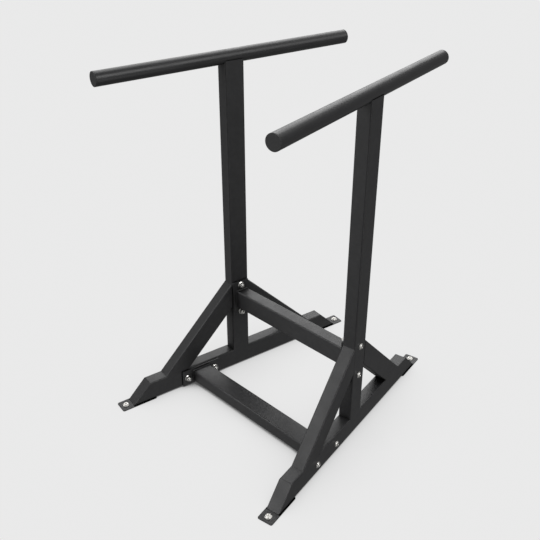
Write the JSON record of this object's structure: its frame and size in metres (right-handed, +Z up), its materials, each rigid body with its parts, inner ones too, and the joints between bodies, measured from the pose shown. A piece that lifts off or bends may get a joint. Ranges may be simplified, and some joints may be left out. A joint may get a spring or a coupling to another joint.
{
  "type": "parallel bars",
  "caption": "Free-standing splayed parallel bars: two braced box-section side frames, each carrying a round hand bar, joined by flanged cross tubes.",
  "frame": {"origin": "on the floor, midway between the two posts, which is the middle of the object's footprint", "axes": "+Z up; +Y to the rear, the narrow end of the bars; +X to the right as seen from the front"},
  "size_m": [0.8418, 1.0716, 1.2911],
  "materials": {
    "frame_coat": "fine-texture powder coat, satin",
    "bar_coat": "smooth satin powder coat",
    "zinc": "bright zinc plate",
    "rubber": "matt black rubber",
    "plug": "matt moulded plastic"
  },
  "bodies": {
    "root": {"left_base_rail": "frame_coat", "left_post": "frame_coat", "left_hand_bar": "bar_coat", "left_front_end_plate": "frame_coat", "left_front_foot_plate": "frame_coat", "left_front_foot_pad": "rubber", "left_front_brace": "frame_coat", "left_front_bar_plug": "plug", "left_front_anchor_screw": "zinc", "left_rear_end_plate": "frame_coat", "left_rear_foot_plate": "frame_coat", "left_rear_foot_pad": "rubber", "left_rear_brace": "frame_coat", "left_rear_bar_plug": "plug", "left_rear_anchor_screw": "zinc", "left_upper_top_bolt": "zinc", "left_upper_top_nut": "zinc", "left_upper_top_sleeve": "zinc", "left_upper_bottom_bolt": "zinc", "left_upper_bottom_nut": "zinc", "left_upper_bottom_sleeve": "zinc", "left_lower_front_bolt": "zinc", "left_lower_front_nut": "zinc", "left_lower_front_sleeve": "zinc", "left_lower_rear_bolt": "zinc", "left_lower_rear_nut": "zinc", "left_lower_rear_sleeve": "zinc", "left_upper_flange": "frame_coat", "left_lower_flange": "frame_coat", "right_base_rail": "frame_coat", "right_post": "frame_coat", "right_hand_bar": "bar_coat", "right_front_end_plate": "frame_coat", "right_front_foot_plate": "frame_coat", "right_front_foot_pad": "rubber", "right_front_brace": "frame_coat", "right_front_bar_plug": "plug", "right_front_anchor_screw": "zinc", "right_rear_end_plate": "frame_coat", "right_rear_foot_plate": "frame_coat", "right_rear_foot_pad": "rubber", "right_rear_brace": "frame_coat", "right_rear_bar_plug": "plug", "right_rear_anchor_screw": "zinc", "right_upper_top_bolt": "zinc", "right_upper_top_nut": "zinc", "right_upper_top_sleeve": "zinc", "right_upper_bottom_bolt": "zinc", "right_upper_bottom_nut": "zinc", "right_upper_bottom_sleeve": "zinc", "right_lower_front_bolt": "zinc", "right_lower_front_nut": "zinc", "right_lower_front_sleeve": "zinc", "right_lower_rear_bolt": "zinc", "right_lower_rear_nut": "zinc", "right_lower_rear_sleeve": "zinc", "right_upper_flange": "frame_coat", "right_lower_flange": "frame_coat", "upper_cross_tube": "frame_coat", "lower_cross_tube": "frame_coat"}
  },
  "joints": []
}
